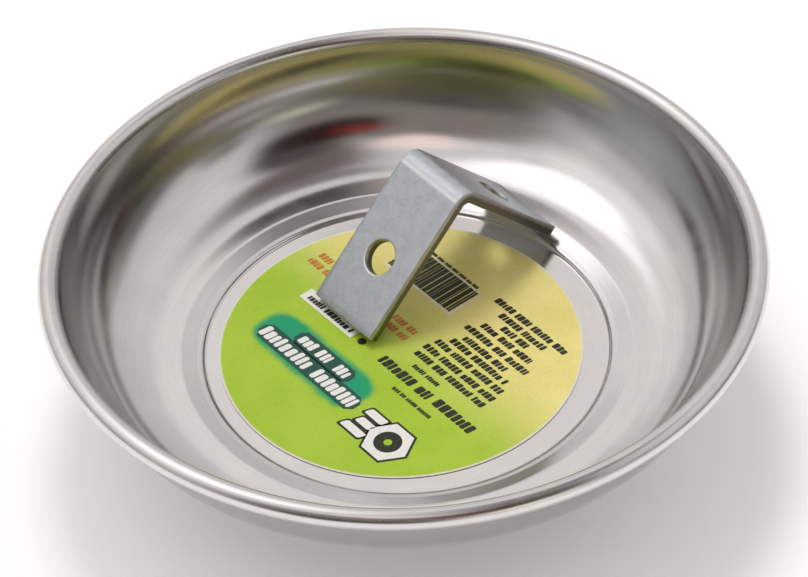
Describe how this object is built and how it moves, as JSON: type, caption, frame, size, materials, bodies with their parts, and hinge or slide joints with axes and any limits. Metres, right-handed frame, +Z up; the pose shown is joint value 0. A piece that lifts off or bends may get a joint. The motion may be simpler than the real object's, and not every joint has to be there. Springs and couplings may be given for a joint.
{
  "type": "magnetic parts tray",
  "caption": "Round pressed-steel magnetic parts dish with a rolled rim, sunk labelled centre, rubber-booted ring magnet and a loose bent bracket standing in it.",
  "frame": {"origin": "on the dish's axis, at the underside of the rubber boot that the tray stands on", "axes": "+Z up along the dish's axis; +X to the right and +Y away from the front, where the label's text starts; the bracket leans towards +X +Y"},
  "size_m": [0.15, 0.15, 0.0401],
  "materials": {
    "stainless_sheet": "pressed and polished stainless sheet, soft mirror with fine turning lines",
    "printed_label": "satin printed paper, green fading to pale yellow",
    "foam_tape": "dull white foam",
    "ferrite": "dull ground grey",
    "plain_steel": "zinc plated",
    "black_rubber": "matt moulded",
    "zinc_steel": "dull zinc plate with a faint spangle"
  },
  "bodies": {
    "tray": {"dish": "stainless_sheet", "label": "printed_label", "bonding_pad": "foam_tape", "ring_magnet": "ferrite", "backing_plate": "plain_steel", "rubber_boot": "black_rubber"},
    "bracket": {"bracket": "zinc_steel"}
  },
  "joints": [
    {"name": "bracket_lift", "type": "slide", "parent": "tray", "child": "bracket", "axis": [0, 0, 1], "range_m": [0, 0.05]}
  ]
}
